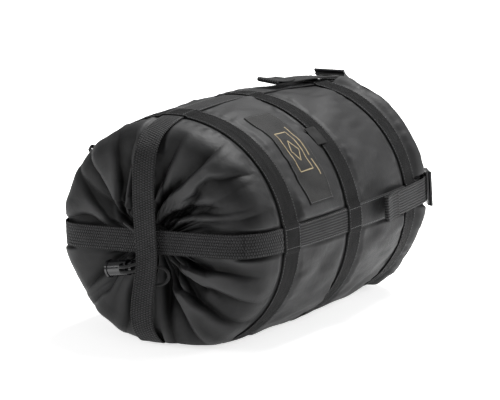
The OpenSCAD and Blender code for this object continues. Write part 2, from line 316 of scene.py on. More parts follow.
def long_strap(name, q, s0, s1, off=G, c=3.25, w=WEB_W, t=WEB_T, step=1.8, wave=0.0, seed=1):
    """A strap lying along the sack's surface on side q, from s0 to s1."""
    l = np.arange(float(l_of_s(s0)), float(l_of_s(s1)) + 1e-6, step)
    sec = section(w, t)
    s, r, ns, nr = at(l)
    g = np.random.RandomState(seed)
    wob = wave * np.sin(l / 17.0 + g.uniform(0, 6)) * np.sin(l / 41.0 + g.uniform(0, 6))
    h = off + sec[None, :, 1] + np.abs(wob)[:, None]
    S = s[:, None] + ns[:, None] * h
    R = r[:, None] + nr[:, None] * h
    v = sec[None, :, 0] + 0 * h
    phi = math.radians(q + ROLL) + np.arcsin(np.clip(v / r[:, None], -1, 1))
    P = lain(S, R * np.sin(phi), -R * np.cos(phi))
    cc = c - sec[None, :, 1] if q == BOT else 0.0
    P[..., 2] = np.maximum(P[..., 2], cc)
    return tube(name, P, sec, l)


def band_lift(phi):
    """How far a round band rises over the four straps that run under it."""
    out = np.zeros_like(phi)
    for q in (TOP, NEAR, BOT, FAR):
        d = np.abs((np.degrees(phi) - q - ROLL + 180) % 360 - 180) * PI / 180 * 118
        out = np.maximum(out, 1.4 * (1 - np.clip((d - 12.9) / 3.2, 0, 1) ** 2 * (3 - 2 * np.clip((d - 12.9) / 3.2, 0, 1))))
    return out


def round_band(name, s0, seed):
    n = 420
    phi = np.arange(n) / n * 2 * PI
    sec = section(WEB_W, WEB_T)
    g = np.random.RandomState(seed)
    lift = band_lift(phi)
    lb = float(l_of_s(s0))
    drift = 0.5 * np.sin(2 * phi + g.uniform(0, 6)) + 0.35 * np.sin(5 * phi + g.uniform(0, 6))
    l = lb + sec[None, :, 0] + drift[:, None]
    edge = np.clip((np.abs(sec[None, :, 0]) - 10) / 2.5, 0, 1) * 0.12
    ripple = 0.18 * np.sin(23 * phi + 2 * np.sin(3 * phi))[:, None] * np.sin(sec[None, :, 0] * 0.25 + 1)
    off = G + lift[:, None] + sec[None, :, 1] * (1 - edge) + np.maximum(ripple, 0)
    s, r, ns, nr = at(l)
    S, R = s + ns * off, r + nr * off
    P = lain(S, R * np.sin(phi)[:, None], -R * np.cos(phi)[:, None])
    d0 = np.abs((np.degrees(phi) - ROLL + 180) % 360 - 180) * PI / 180 * 118
    cb = np.where(d0 < 16.5, 1.9, 0.0)[:, None]
    P[..., 2] = np.maximum(P[..., 2], np.maximum(cb, 0) + (WEB_T - sec[None, :, 1]) * 0.9 + 0.02)
    return tube(name, P, sec, phi * 118.0, closed=True)


# ------------------------------------------------------------------ node material helpers
class M:
    def __init__(self, name):
        self.m = bpy.data.materials.new(name)
        self.m.use_nodes = True
        self.t = self.m.node_tree
        self.n, self.k = self.t.nodes, self.t.links
        self.b = self.n["Principled BSDF"]

    def put(self, sock, v):
        if isinstance(v, (int, float)):
            sock.default_value = v
        elif isinstance(v, (tuple, list)):
            sock.default_value = v
        else:
            self.k.new(v, sock)

    def math(self, op, a, b=0.0, c=0.0, clamp=False):
        x = self.n.new("ShaderNodeMath"); x.operation = op; x.use_clamp = clamp
        self.put(x.inputs[0], a); self.put(x.inputs[1], b)
        if len(x.inputs) > 2:
            self.put(x.inputs[2], c)
        return x.outputs[0]

    def uv(self):
        x = self.n.new("ShaderNodeUVMap"); x.uv_map = "UVMap"
        y = self.n.new("ShaderNodeSeparateXYZ")
        self.k.new(x.outputs[0], y.inputs[0])
        return self.math("MULTIPLY", y.outputs[0], 1000.0), self.math("MULTIPLY", y.outputs[1], 1000.0)

    def obj(self):
        return self.n.new("ShaderNodeTexCoord").outputs["Object"]

    def noise(self, scale, detail=3.0, rough=0.55, vec=None, dist=0.0):
        x = self.n.new("ShaderNodeTexNoise")
        x.inputs["Scale"].default_value = scale
        x.inputs["Detail"].default_value = detail
        x.inputs["Roughness"].default_value = rough
        x.inputs["Distortion"].default_value = dist
        self.k.new(vec if vec is not None else self.obj(), x.inputs["Vector"])
        return x.outputs["Fac"]

    def ramp(self, fac, *stops):
        x = self.n.new("ShaderNodeValToRGB")
        e = x.color_ramp.elements
        e[0].position, e[0].color = stops[0][0], (*stops[0][1], 1)
        e[1].position, e[1].color = stops[-1][0], (*stops[-1][1], 1)
        for p, c in stops[1:-1]:
            y = e.new(p); y.color = (*c, 1)
        self.k.new(fac, x.inputs[0])
        return x.outputs[0]

    def mix(self, fac, a, b):
        x = self.n.new("ShaderNodeMix"); x.data_type = "RGBA"
        self.put(x.inputs[0], fac); self.put(x.inputs[6], a); self.put(x.inputs[7], b)
        return x.outputs[2]

    def remap(self, v, a, b, c, d):
        x = self.n.new("ShaderNodeMapRange")
        self.put(x.inputs[0], v)
        for i, q in enumerate((a, b, c, d)):
            x.inputs[1 + i].default_value = q
        return x.outputs[0]

    def bump(self, h, strength, dist, prev=None):
        x = self.n.new("ShaderNodeBump")
        x.inputs["Strength"].default_value = strength
        x.inputs["Distance"].default_value = dist
        self.k.new(h, x.inputs["Height"])
        if prev is not None:
            self.k.new(prev, x.inputs["Normal"])
        return x.outputs[0]

    def done(self, color, rough, normal=None, sheen=0.0, sheen_r=0.5, spec=0.5, coat=0.0, coat_r=0.1, metal=0.0):
        self.put(self.b.inputs["Base Color"], color if not isinstance(color, tuple) else (*color, 1))
        self.put(self.b.inputs["Roughness"], rough)
        if normal is not None:
            self.k.new(normal, self.b.inputs["Normal"])
        self.b.inputs["Sheen Weight"].default_value = sheen
        self.b.inputs["Sheen Roughness"].default_value = sheen_r
        self.b.inputs["Specular IOR Level"].default_value = spec
        self.b.inputs["Coat Weight"].default_value = coat
        self.b.inputs["Coat Roughness"].default_value = coat_r
        self.b.inputs["Metallic"].default_value = metal
        return self.m


def fabric_material(name="SackFabric", dark=(0.013, 0.013, 0.0135), light=(0.024, 0.024, 0.0245)):
    a = M(name)
    u, v = a.uv()
    big = a.noise(16, 3, 0.5)
    col = a.ramp(big, (0.3, dark), (0.7, light))
    w1 = a.math("SINE", a.math("MULTIPLY", u, 2 * PI / 0.62))
    w2 = a.math("SINE", a.math("MULTIPLY", v, 2 * PI / 0.62))
    weave = a.math("MULTIPLY", w1, w2)
    crumple = a.noise(75, 5, 0.6, dist=0.4)
    fine = a.noise(330, 3, 0.6)
    n = a.bump(crumple, 0.4, 0.0015)
    n = a.bump(fine, 0.25, 0.0004, n)
    n = a.bump(weave, 0.2, 0.00008, n)
    col = a.mix(a.remap(weave, -1, 1, 0.0, 0.16), col, (0.008, 0.008, 0.008, 1))
    # painted shade and painted highlight: the attribute darkens the cloth in its fold valleys and beside the bands, and
    # lightens it on the fold ridges
    painted_fold_light = a.n.new("ShaderNodeAttribute"); painted_fold_light.attribute_name = "painted_fold_light"
    col = a.mix(a.remap(painted_fold_light.outputs["Fac"], -0.02, -0.45, 0.0, 0.92), col, (0.0015, 0.0015, 0.0015, 1))
    col = a.mix(a.remap(painted_fold_light.outputs["Fac"], 0.02, 0.5, 0.0, 0.55), col, (0.07, 0.07, 0.071, 1))
    rough = a.remap(a.noise(40, 3), 0.3, 0.7, 0.5, 0.62)
    return a.done(col, rough, n, sheen=0.01, sheen_r=0.35, spec=0.17)


def webbing_material(name="Webbing", style="twill", dark=(0.002, 0.002, 0.0022), light=(0.03, 0.03, 0.031), edge=True):
    a = M(name)
    u, v = a.uv()
    if style == "twill":
        tri = a.math("ABSOLUTE", a.math("SUBTRACT", a.math("FRACT", a.math("DIVIDE", v, 8.34)), 0.5))
        ph = a.math("ADD", a.math("DIVIDE", u, 2.1), a.math("MULTIPLY", tri, 7.0))
        rib = a.math("SINE", a.math("MULTIPLY", ph, 2 * PI))
        yarn = a.math("SINE", a.math("MULTIPLY", v, 2 * PI / 1.25))
        h = a.math("ADD", a.math("MULTIPLY", rib, 0.7), a.math("MULTIPLY", yarn, 0.3))
    elif style == "basket":
        half = a.math("MULTIPLY", a.math("GREATER_THAN", a.math("FRACT", a.math("DIVIDE", a.math("ADD", v, 100.0), 6.2)), 0.5), 0.5)
        x = a.math("SINE", a.math("MULTIPLY", a.math("ADD", a.math("DIVIDE", u, 2.6), half), 2 * PI))
        row = a.math("ABSOLUTE", a.math("SINE", a.math("MULTIPLY", a.math("ADD", v, 100.0), PI / 3.1)))
        h = a.math("ADD", a.math("MULTIPLY", x, 0.65), a.math("SUBTRACT", a.math("MULTIPLY", row, 0.9), 0.55))
    else:
        y = a.math("SINE", a.math("MULTIPLY", v, 2 * PI / 2.7))
        yarn = a.math("SINE", a.math("MULTIPLY", a.math("ADD", u, a.math("MULTIPLY", v, 0.25)), 2 * PI / 1.3))
        h = a.math("ADD", a.math("MULTIPLY", y, 0.75), a.math("MULTIPLY", yarn, 0.35))
    f = a.remap(h, -1, 1, 0, 1)
    wear = a.noise(60, 4, 0.6)
    f2 = a.math("ADD", f, a.math("MULTIPLY", a.math("SUBTRACT", wear, 0.5), 0.7))
    col = a.ramp(f2, (0.05, dark), (0.95, light))
    if edge:
        ed = a.math("GREATER_THAN", a.math("ABSOLUTE", v), WEB_W / 2 - 1.0)
        col = a.mix(a.math("MULTIPLY", ed, 0.6), col, (0.010, 0.010, 0.010, 1))
    n = a.bump(h, 1.0, 0.0007 if style == "twill" else 0.0005)
    n = a.bump(a.noise(500, 2), 0.3, 0.0002, n)
    n = a.bump(a.noise(55, 3), 0.35, 0.0012, n)
    rough = a.remap(f, 0, 1, 0.85, 0.62)
    return a.done(col, rough, n, sheen=0.0 if style == "twill" else 0.04, sheen_r=0.5, spec=0.1 if style == "twill" else 0.2)


def plastic_material(name, base=(0.008, 0.008, 0.009), r0=0.28, r1=0.4, coat=0.0, grain=0.06):
    a = M(name)
    big = a.noise(45, 3)
    col = a.ramp(big, (0.3, base), (0.75, tuple(x * 1.6 for x in base)))
    n = a.bump(a.noise(1400, 3), grain, 0.0002)
    n = a.bump(a.noise(90, 2), 0.05, 0.001, n)
    return a.done(col, a.remap(a.noise(140, 4), 0.3, 0.7, r0, r1), n, spec=0.5, coat=coat, coat_r=0.15)


FABRIC = fabric_material()
FABRIC_STRIP = fabric_material("SackFabricStrip", dark=(0.012, 0.012, 0.0125), light=(0.022, 0.022, 0.0225))
WEB_TWILL = webbing_material("WebbingTwill", "twill", dark=(0.001, 0.001, 0.001), light=(0.026, 0.026, 0.0265))
WEB_BASKET = webbing_material("WebbingBasket", "basket")
WEB_RIB = webbing_material("WebbingRib", "rib")
BUCKLE = plastic_material("BucklePlastic")
LOCKP = plastic_material("CordLockPlastic", base=(0.008, 0.008, 0.009), r0=0.12, r1=0.24, coat=0.4, grain=0.03)


def thread_material():
    a = M("StitchThread")
    col = a.ramp(a.noise(300, 2), (0.3, (0.03, 0.03, 0.031)), (0.7, (0.075, 0.075, 0.078)))
    n = a.bump(a.noise(2500, 2), 0.3, 0.0001)
    return a.done(col, a.remap(a.noise(200, 2), 0.3, 0.7, 0.5, 0.65), n, sheen=0.2)


def cord_material():
    a = M("BraidedCord")
    u, v = a.uv()
    p = a.math("MULTIPLY", a.math("SINE", a.math("MULTIPLY", a.math("ADD", u, a.math("MULTIPLY", v, 0.8)), 2 * PI / 1.5)),
               a.math("SINE", a.math("MULTIPLY", a.math("SUBTRACT", u, a.math("MULTIPLY", v, 0.8)), 2 * PI / 1.5)))
    f = a.remap(p, -1, 1, 0, 1)
    col = a.ramp(f, (0.1, (0.006, 0.006, 0.006)), (0.6, (0.028, 0.028, 0.029)), (0.95, (0.06, 0.06, 0.06)))
    n = a.bump(p, 0.7, 0.0003)
    return a.done(col, a.remap(f, 0, 1, 0.75, 0.6), n, sheen=0.03, spec=0.25)


def steel_material():
    a = M("SpringSteel")
    col = a.ramp(a.noise(200, 3), (0.3, (0.42, 0.42, 0.43)), (0.7, (0.6, 0.6, 0.6)))
    return a.done(col, a.remap(a.noise(600, 2), 0.3, 0.7, 0.22, 0.38), a.bump(a.noise(1800, 2), 0.1, 0.0001), metal=1.0)


def patch_material():
    a = M("LabelPatch")
    u, v = a.uv()
    w = a.math("MULTIPLY", a.math("SINE", a.math("MULTIPLY", u, 2 * PI / 0.9)), a.math("SINE", a.math("MULTIPLY", v, 2 * PI / 0.9)))
    col = a.ramp(a.noise(60, 3), (0.3, (0.009, 0.009, 0.009)), (0.7, (0.018, 0.0175, 0.017)))
    n = a.bump(w, 0.4, 0.0002)
    n = a.bump(a.noise(70, 3), 0.3, 0.001, n)
    return a.done(col, a.remap(w, -1, 1, 0.75, 0.62), n, sheen=0.02, spec=0.18)


def gold_material():
    a = M("GoldThread")
    u, v = a.uv()
    w = a.math("SINE", a.math("MULTIPLY", a.math("ADD", u, v), 2 * PI / 0.7))
    col = a.ramp(a.noise(220, 3), (0.25, (0.16, 0.12, 0.055)), (0.8, (0.42, 0.33, 0.17)))
    return a.done(col, a.remap(w, -1, 1, 0.62, 0.45), a.bump(w, 0.5, 0.0002), sheen=0.15)


def tape_material():
    a = M("TabTape")
    u, v = a.uv()
    w = a.math("SINE", a.math("MULTIPLY", v, 2 * PI / 0.8))
    col = a.ramp(a.noise(90, 3), (0.3, (0.007, 0.007, 0.007)), (0.7, (0.016, 0.016, 0.016)))
    n = a.bump(a.noise(120, 3), 0.3, 0.0008, a.bump(w, 0.3, 0.0001))
    return a.done(col, a.remap(w, -1, 1, 0.8, 0.66), n, sheen=0.0, spec=0.12)


THREAD, CORDM, STEEL, PATCH, GOLD, TAPE = thread_material(), cord_material(), steel_material(), patch_material(), gold_material(), tape_material()


def use(o, m):
    o.data.materials.clear()
    o.data.materials.append(m)
    return o


# ------------------------------------------------------------------ camera (before anything else is placed)
cam_d = bpy.data.cameras.new("Camera")
cam = bpy.data.objects.new("Camera", cam_d)
bpy.context.scene.collection.objects.link(cam)
bpy.context.scene.camera = cam
cam_d.sensor_width = 36.0
cam_d.lens = 7311.67 * 36 / 500
cam_d.clip_start, cam_d.clip_end = 0.1, 100
_az, _el = math.radians(-56.6165), math.radians(13.7818)
fwd = Vector((-math.sin(_az) * math.cos(_el), math.cos(_az) * math.cos(_el), -math.sin(_el)))
cam.location = Vector((-5914.46, -3899.78, 1851.76)) / 1000
cam.rotation_euler = fwd.to_track_quat("-Z", "Y").to_euler()

# ------------------------------------------------------------------ drawcord (its route repeats the CAD's)
CORD_R = 1.6
LEADS = {
    "drawcord_a": [[15.1, 10.4, -10.4], [15.4, 14.5, -14.4], [16.2, 20, -19.2], [16.9, 25.4, -23.9], [16.2, 29.2, -27.2], [13.2, 30.4, -28], [9, 30.4, -28], [4, 30.4, -28], [-0.6, 30.4, -28], [-4.6, 28.9, -27.7], [-6.6, 25, -26.8], [-5.6, 20, -25.4], [-2.2, 14.6, -23.6], [1, 9.4, -21.6], [2.4, 4.6, -17.4], [2.6, 1.6, -10.4], [2.6, 3.2, -2.6], [2.6, 8.4, 3.6], [2.8, 15, 8.5], [3.4, 23, 12], [4, 30.5, 15.6]],
    "drawcord_b": [[15.1, 9.4, -11.3], [15.4, 13.4, -16.4], [16.2, 18.8, -22.6], [16.9, 24.4, -28.8], [16.2, 28.4, -32], [13.2, 29.5, -32.6], [9, 29.5, -32.6], [4, 29.5, -32.6], [-0.6, 29.5, -32.6], [-4.6, 27.9, -32.4], [-6.5, 23.8, -31.8], [-5.4, 18.8, -30.9], [-2, 13.6, -29.8], [1.2, 8, -28.4], [2.8, 1, -26.6], [4, -6, -24.6], [6.6, -13, -24.2], [9, -18.2, -28.2], [10, -19, -34.4], [9, -15.4, -39.8], [7, -9, -42.4], [5.6, -2, -42.8]]}


def cord_tube(name, pts, r, n=16, tip=False):
    p = catmull(world(*np.array(pts, float).T), 10)
    p, u = resample(p, step=0.7)
    d = np.gradient(p, axis=0); d /= np.linalg.norm(d, axis=1)[:, None]
    ref = np.array([0, 0, 1.0])
    x = np.cross(d[0], ref); x /= np.linalg.norm(x)
    X = [x]
    for i in range(1, len(p)):
        x = X[-1] - d[i] * np.dot(X[-1], d[i]); X.append(x / np.linalg.norm(x))
    X = np.array(X); Y = np.cross(d, X)
    a = np.arange(n) / n * 2 * PI
    rad = np.full(len(p), r)
    rad *= 1 + 0.02 * np.sin(u * 2 * PI / 1.5)
    if tip:
        rad[-1] *= 0.55; rad[-2] *= 0.9
    braid = 1 + 0.035 * np.sin(a[None, :] * 4 + u[:, None] * 2 * PI / 3.0) * np.sin(a[None, :] * 4 - u[:, None] * 2 * PI / 3.0)
    P = p[:, None, :] + (rad[:, None] * braid)[:, :, None] * (np.cos(a)[None, :, None] * X[:, None, :] + np.sin(a)[None, :, None] * Y[:, None, :])
    F = quads(len(p), n, False, True).tolist()
    F.append(list(range(n - 1, -1, -1))); F.append([(len(p) - 1) * n + j for j in range(n)])
    A = np.arange(n) / n * 2 * PI * r
    U = np.stack(np.broadcast_arrays(u[:, None], A[None, :]), -1).reshape(-1, 2)
    o = new_mesh(name, P.reshape(-1, 3), F, U)
    fix_normals(o)
    return o, p, float(u[-1])


for name, pts in LEADS.items():
    o, path, length = cord_tube(name, pts, CORD_R, tip=True)
    use(o, CORDM)
    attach(o, "sack")
    if name == "drawcord_a":
        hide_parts("drawcord")
        CORD_A = o
LENGTHS = {}

# ------------------------------------------------------------------ fabric
NPHI = 640
rng = np.random.RandomState(11)
PHI = np.arange(NPHI) / NPHI * 2 * PI


def strap_press(l, phi):
    """1 under the four long straps, falling to 0 beside them."""
    s, r, _, _ = at(l)
    out = np.zeros(np.broadcast(l, phi).shape)
    for q in (TOP, NEAR, BOT, FAR):
        mid = q + ROLL + (np.degrees(14.0 / np.maximum(r, 20)) * np.clip((L_B1 - 12 - l) / 30, 0, 1) if q == BOT else 0.0)
        d = np.abs((np.degrees(phi) - mid + 180) % 360 - 180) * PI / 180
        lat = np.where(d < PI / 2, r * np.sin(np.minimum(d, PI / 2)), 999)
        k = np.clip((lat - 12.6) / 4.5, 0, 1)
        out = np.maximum(out, 1 - k * k * (3 - 2 * k))
    return out


def band_press(l, reach=9.0):
    out = np.zeros(np.shape(l))
    for b in (L_B1, L_B2, L_B3):
        k = np.clip((np.abs(l - b) - 12.3) / reach, 0, 1)
        out = np.maximum(out, 1 - k * k * (3 - 2 * k))
    return out


FOLDS = [  # (length along the cloth from the hem, angle) along each valley, depth, steep side, width
    ([(0, 98), (30, 114.5), (50, 139.5), (73, 150.5), (96, 153)], 9.0, -1, 9),
    ([(0, 104), (25, 114), (42, 139), (58, 152), (72, 159), (88, 165)], 8.0, 1, 6),
    ([(0, 112), (18, 119), (32, 141), (49, 156), (66, 163)], 9.0, 1, 7),
    ([(0, 92), (33, 112.5), (46, 124.5), (68, 130.5), (85, 131.5), (108, 133)], 7.5, 1, 9),
    ([(0, 84), (35, 100.5), (50, 109.5), (67, 115.5), (82, 119), (104, 122)], 6.0, -1, 9),
    ([(0, 80), (47, 98), (62, 101), (81, 96), (100, 95)], 6.5, 1, 10),
    ([(0, 165), (27, 188), (49, 203), (73, 210), (91, 211), (112, 210)], 9.5, 1, 11),
    ([(0, 185), (19, 211), (32, 222.5), (52, 233), (70, 240)], 7.5, -1, 9),
    ([(30, 212), (51, 219.5), (65, 218.5), (79, 221), (89, 225.5), (112, 230)], 7.0, -1, 9),
    ([(20, 236), (48, 246), (80, 250), (110, 250)], 5.0, -1, 10),
    ([(0, 324), (20, 310), (43, 294), (67, 285.5), (92, 283)], 8.0, 1, 8),
    ([(0, 334), (24, 325.5), (37, 316.5), (59, 305), (77, 300.5), (102, 298)], 9.0, -1, 8),
    ([(0, 342), (28, 339.5), (46, 326.5), (69, 317), (93, 314), (118, 313)], 10.0, 1, 9),
    ([(0, 350), (33, 343.5), (53, 338), (71, 336), (96, 334.5)], 9.0, -1, 8),
    ([(0, 354), (31, 352.5), (53, 351), (69, 350), (98, 349)], 8.0, 1, 7),
    ([(0, 34), (40, 26.5), (55, 22.5), (70, 19.5), (98, 21)], 7.5, 1, 8),
    ([(20, 52), (56, 41.5), (72, 42.5), (100, 43)], 7.0, -1, 9),
    ([(10, 66), (53, 57), (76, 53), (100, 52)], 6.0, -1, 11),
    ([(0, 8), (30, 10), (60, 9), (90, 8)], 6.0, 1, 8),
    ([(10, 275), (40, 270), (70, 268), (90, 268)], 5.0, 1, 9),
    ([(2, 303), (14, 305), (30, 300), (44, 296)], 7.0, 1, 6),
    ([(2, 314), (16, 316), (30, 312), (46, 309)], 7.5, -1, 6),
    ([(4, 329), (16, 330), (32, 326), (50, 322)], 7.0, 1, 6),
    ([(2, 286), (20, 280), (38, 277), (58, 276)], 6.0, -1, 7),
    ([(2, 62), (24, 46), (44, 38), (64, 33)], 6.0, 1, 8),
    ([(2, 128), (20, 132), (40, 146), (60, 158)], 6.0, -1, 6),
    ([(2, 148), (20, 166), (42, 182), (66, 190), (90, 193)], 7.5, 1, 9),
    ([(2, 200), (24, 226), (44, 236), (64, 243), (90, 246)], 6.5, 1, 9),
]


def creases(l, phi):
    """The gathers at the mouth: sharp valleys that run out from the hem and fade towards the front band."""
    s, r, _, _ = at(l)
    out = np.zeros(np.broadcast(l, phi).shape)
    g = np.random.RandomState(5)

    def valley(path, d0, depth, side, w, l0, l1, start):
        e0 = np.clip((l - l0) / 16.0, start, 1) if l0 > 0 else np.clip((l + 8) / 26.0, start, 1)
        t = np.clip((l - l0) / (l1 - l0), 0, 1)
        env = e0 * (1 - t ** 2.4) ** 1.2
        d = ((phi - path + PI) % (2 * PI) - PI) * r
        wa = w * np.clip(0.3 + l / 70.0, 0.3, 1.2)
        ww = np.where(d * side > 0, wa * 0.38, wa * 1.3)
        lip = 0.42 * np.exp(-((d * side + wa * 0.0 - wa * 0.9) / (wa * 0.8)) ** 2)
        return 1.3 * depth * env * (lip - np.exp(-(np.abs(d) / ww) ** 0.92))

    for pts, depth, side, w in FOLDS:
        pl = np.array([p[0] for p in pts], float); pa = np.radians([p[1] for p in pts])
        fine = catmull(np.stack([pl, pa], -1), 8)
        path = np.interp(l, fine[:, 0], fine[:, 1])
        out += valley(path, 0, depth, side, w, pl[0], pl[-1] + 14, 0.25)
    n_long, n_short = 16, 44
    for k in range(n_long + n_short):
        long = k < n_long
        n = n_long if long else n_short
        i = k if long else k - n_long
        a0 = (i + g.uniform(0.1, 0.9)) / n * 2 * PI
        drift = g.uniform(-0.16, 0.16)
        end = g.uniform(80, 118) if long else g.uniform(30, 66)
        depth = g.uniform(1.2, 2.6) if long else g.uniform(1.6, 3.6)
        path = a0 + drift * (l / 100.0) ** 1.3 + g.uniform(0.01, 0.035) * np.sin(l / g.uniform(18, 40) + g.uniform(0, 6))
        out += valley(path, 0, depth, g.choice([-1, 1]), g.uniform(4.0, 7.0) if long else g.uniform(2.4, 4.6), 0, end, 0.3)
    return out


def fabric_disp(l, phi):
    s, r, _, _ = at(l)
    mouth = np.clip((L_B1 - 12.5 - l) / 30.0, 0, 1)
    mouth = mouth * mouth * (3 - 2 * mouth)
    c = creases(l, phi)
    c = np.maximum(c, -13 + 3 * np.tanh((c + 13) / 3)) * np.clip((L_B1 - 12 - l) / 12, 0, 1) ** 0.8
    soft = waves(phi, l, 3, 9, 0.01, 0.05, 12, 21)
    mid = waves(phi, l, 6, 22, 0.02, 0.13, 22, 22)
    fine = waves(phi, l, 26, 60, 0.02, 0.2, 22, 23)
    bulge = 4.6 * mouth * np.clip(l / 24, 0.25, 1)
    body = 1.2 * soft + 0.85 * mid + 0.2 * fine
    bp = band_press(l)
    pucker = waves(phi, l, 34, 70, 0.0, 0.05, 16, 24)
    near_band = np.clip(band_press(l, 22.0) - bp, 0, 1)
    d = c + bulge + body * (0.5 + 0.5 * (1 - mouth)) + 0.55 * pucker * near_band
    d = d + 1.5 * (1 - bp) * (1 - mouth)
    d = d * (1 - bp) - 0.35 * bp
    sp = strap_press(l, phi)
    on = np.maximum(np.clip((s - 24) / 6, 0, 1), np.clip((r - 90) / 8, 0, 1)) * (l < L_SEAM + 1)
    sp = sp * on
    d = np.where(sp > 0, d * (1 - sp) + np.minimum(d, -0.3) * sp, d)
    flat = 1 - on
    cap = 4.9 * flat + 6.6 * (1 - flat)
    d = cap - 1.1 * np.log1p(np.exp(np.clip((cap - d) / 1.1, -30, 30)))
    return d


def corner(l, phi):
    """The stuffed rim of the base, fuller between the straps."""
    k = np.clip((l - float(l_of_s(317))) / 14.0, 0, 1)
    e = np.clip((float(l_of_s(332.5)) + 52 - l) / 30.0, 0, 1)
    low = 0.5 + 0.5 * np.cos(phi)
    return 5.2 * k * k * (3 - 2 * k) * e * e * (3 - 2 * e) * (1 - strap_press(l, phi)) * (1 - 0.5 * low ** 3)


def fabric_piece(name, l0, l1, nl, c=4.2, base=False, thick=0.8):
    l = np.linspace(l0, l1, nl)[:, None] + 0 * PHI[None, :]
    phi = PHI[None, :] + 0 * l
    d = fabric_disp(l, phi) + corner(l, phi)
    if base:
        f = np.clip((l - L_SEAM) / 10, 0, 1)
        s, r, _, _ = at(l)
        d = (0.9 * waves(phi, l, 2, 7, 0.02, 0.07, 10, 31) + 0.35 * waves(phi, l, 8, 26, 0.02, 0.16, 14, 32)) * f * np.clip(r / 70, 0, 1) - 0.35
        d = np.minimum(d, 0.6) + corner(l, phi)
    outer = skin(l, phi, d, c + 0.0)
    inner = skin(l, phi, d - thick, c + thick)
    uv = np.stack([phi * 120.0, l], -1)
    _, r, _, _ = at(l)
    # painted fold light: relief above its smoothed surroundings becomes painted highlight, relief below becomes painted
    # shade, and the cloth at and beside the bands gets extra painted shade
    k = np.fft.rfft(d, axis=1)
    sg = 8.0 / np.maximum(r[:, :1], 12)
    low = np.fft.irfft(k * np.exp(-0.5 * (np.arange(k.shape[1])[None, :] * sg) ** 2), n=d.shape[1], axis=1)
    painted_fold_light = np.clip((d - low) / 5.5, -0.5, 0.5) - 0.22 * np.clip(band_press(l, 5.0), 0, 1)
    return shell(name, outer, inner, uv, painted_fold_light)


o = fabric_piece("sack_fabric_mouth", 0.0, L_B1 - 0.4, 150)
use(o, FABRIC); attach(o, "sack"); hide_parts("gathered_end")
o = fabric_piece("sack_fabric_front", L_B1 + 0.2, L_B2 - 0.3, 84)
use(o, FABRIC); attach(o, "sack"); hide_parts("body_panel_front")
REAR = fabric_piece("sack_fabric_rear", L_B2 + 0.3, L_SEAM - 0.2, 110)
use(REAR, FABRIC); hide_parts("body_panel_rear")
o = fabric_piece("sack_fabric_base", L_SEAM + 0.4, PL[-1] - 0.6, 70, base=True)
use(o, FABRIC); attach(o, "base_end"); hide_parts("base_panel")


def hem():
    n, m = 260, 20
    ph = np.arange(n) / n * 2 * PI
    a = np.arange(m) / m * 2 * PI
    g = np.random.RandomState(3)
    ruf = 0.9 * np.abs(np.sin(11 * ph + 0.8 * np.sin(3 * ph))) + 0.4 * np.sin(5 * ph + 1)
    rr = 2.6 + 0.5 * np.abs(np.sin(11 * ph + 0.8 * np.sin(3 * ph)))
    R = 12.6 + 0 * ruf
    r = R[:, None] + rr[:, None] * np.cos(a)[None, :] + 0.5 * (ruf[:, None] - 0.6)
    s = 19.5 - rr[:, None] * np.sin(a)[None, :] - 0.4 * ruf[:, None]
    P = world(s, r * np.sin(ph)[:, None], -r * np.cos(ph)[:, None])
    F = quads(n, m, True, True).tolist()
    U = np.stack(np.broadcast_arrays(ph[:, None] * 12.6, a[None, :] * 3), -1).reshape(-1, 2)
    o = new_mesh("mouth_hem_ruffle", P.reshape(-1, 3), F, U)
    fix_normals(o)
    return o


o = hem(); use(o, FABRIC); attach(o, "sack"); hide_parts("mouth_hem")

# ------------------------------------------------------------------ bands and straps
for i, (nm, s0, body) in enumerate((("front_band", BANDS[0], "sack"), ("middle_band", BANDS[1], "sack"), ("rear_band", BANDS[2], "base_end"))):
    o = round_band("webbing_" + nm, s0, 40 + i)
    use(o, WEB_TWILL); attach(o, body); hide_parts(nm)

HZ = [[30, 112.1], [22, 107.6], [15.5, 101.5], [11.5, 94], [9, 84], [8, 70], [7.5, 50], [7.3, 25], [7.3, 0]]
VT = [[30, 112.1], [21, 107.3], [13, 100.3], [7, 91.5], [3, 80], [0.6, 66], [-1, 48], [-1.3, 25], [-1.3, 0]]


def mouth_path(p):
    l = np.linspace(float(l_of_s(69.8)), float(l_of_s(36)), 8)
    s, r, ns, nr = at(l)
    body = np.stack([s + ns * 0.1, r + nr * 0.1], -1).tolist()
    half = body + p
    return half + [[a, -b] for a, b in half[-2::-1]]


def body_curve(s, r):
    k = np.clip((s - 20) / 12, 0, 1)
    return k * k * (3 - 2 * k)


def mouth_curl(seed, amp):
    g = np.random.RandomState(seed)
    p1, p2 = g.uniform(0, 6, 2)

    def f(u, v):
        L = 2 * 190.0
        mid = np.exp(-((u - 175) / 80.0) ** 2)
        return amp * mid * ((v / 12.5) ** 2 - 0.4) + 0.35 * mid * np.sin(u / 23 + p1) * (v / 12.5)
    return f


def swing(s, r):
    """The strap over the mouth runs a little to the far side on its way down."""
    k = np.clip((-r - 10) / 85.0, 0, 1)
    return -14.0 * k * k * (3 - 2 * k) * (1 - np.clip((s - 34) / 26.0, 0, 1))


for nm, path, q, m, amp in (("strap_mouth_vertical", VT, TOP, WEB_BASKET, -0.5), ("strap_mouth_horizontal", HZ, NEAR, WEB_BASKET, 0.4)):
    o, _ = ribbon("webbing_" + nm, mouth_path(path), q, WEB_W, WEB_T, h0=-0.1 - WEB_T, out=1, zc=4.0, curve_w=body_curve, curl=mouth_curl(q, amp), soft=True, side=swing if q == TOP else None)
    use(o, m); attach(o, "sack"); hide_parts(nm)

o, _ = ribbon("webbing_strap_doubler", [[54, 118.6], [42, 116.6], [30, 112.1], [22, 107.6], [15.5, 101.5]], NEAR, WEB_W - 0.8, WEB_T, h0=-0.25 - 2 * WEB_T, out=1, curve_w=body_curve, soft=True)
use(o, WEB_BASKET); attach(o, "sack"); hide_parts("strap_doubler")

